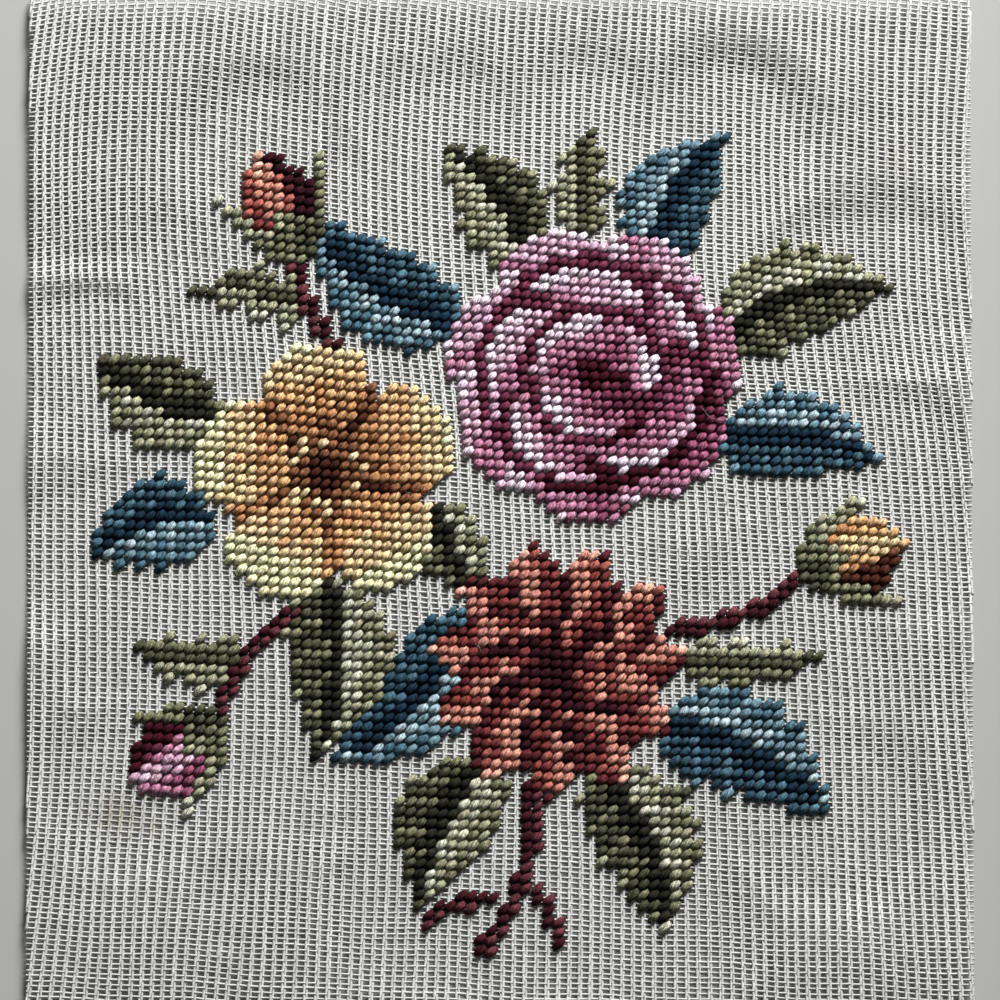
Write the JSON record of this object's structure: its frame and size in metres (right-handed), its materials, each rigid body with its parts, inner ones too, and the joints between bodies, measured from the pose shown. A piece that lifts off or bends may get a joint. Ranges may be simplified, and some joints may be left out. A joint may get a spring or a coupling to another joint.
{
  "type": "needlepoint canvas panel",
  "caption": "Flat cut length of open double-thread cotton canvas with a floral spray of blooms, buds, leaves and stems worked in wool tent stitch.",
  "frame": {"origin": "centre of the panel's bounding box, on the surface that the panel lies on", "axes": "+X to the right across the design, +Y up the design, +Z out of the worked face"},
  "size_m": [0.2323, 0.2521, 0.0036],
  "materials": {
    "canvas_cotton": "off-white sized cotton canvas, matt, open double-thread weave",
    "wool_mauve": "wool, matt, soft, in six shades from pale pink to wine",
    "wool_gold": "wool, matt, soft, in six shades from cream to red-brown",
    "wool_rust": "wool, matt, soft, in six shades from peach to dark wine-brown",
    "wool_olive": "wool, matt, soft, in six shades from pale green to dark olive",
    "wool_teal": "wool, matt, soft, in six shades from pale grey-blue to navy",
    "wool_burgundy": "wool, matt, soft, dark red"
  },
  "bodies": {
    "root": {"canvas": "canvas_cotton", "mauve_bloom": "wool_mauve", "gold_bloom": "wool_gold", "rust_bloom": "wool_rust", "mauve_bud": "wool_mauve", "rust_bud": "wool_rust", "gold_bud": "wool_gold", "mauve_calyx": "wool_olive", "rust_calyx": "wool_olive", "gold_calyx": "wool_olive", "leaf_01": "wool_teal", "leaf_02": "wool_olive", "leaf_03": "wool_teal", "leaf_04": "wool_olive", "leaf_05": "wool_teal", "leaf_06": "wool_olive", "leaf_07": "wool_teal", "leaf_08": "wool_olive", "leaf_09": "wool_teal", "leaf_10": "wool_olive", "leaf_11": "wool_olive", "leaf_12": "wool_teal", "leaf_13": "wool_olive", "sprig_01": "wool_olive", "sprig_02": "wool_olive", "sprig_03": "wool_olive", "sprig_04": "wool_olive", "stem_main": "wool_burgundy", "stem_mauve": "wool_burgundy", "stem_rust": "wool_burgundy", "stem_gold": "wool_burgundy", "twig_01": "wool_burgundy", "twig_02": "wool_burgundy"}
  },
  "joints": []
}
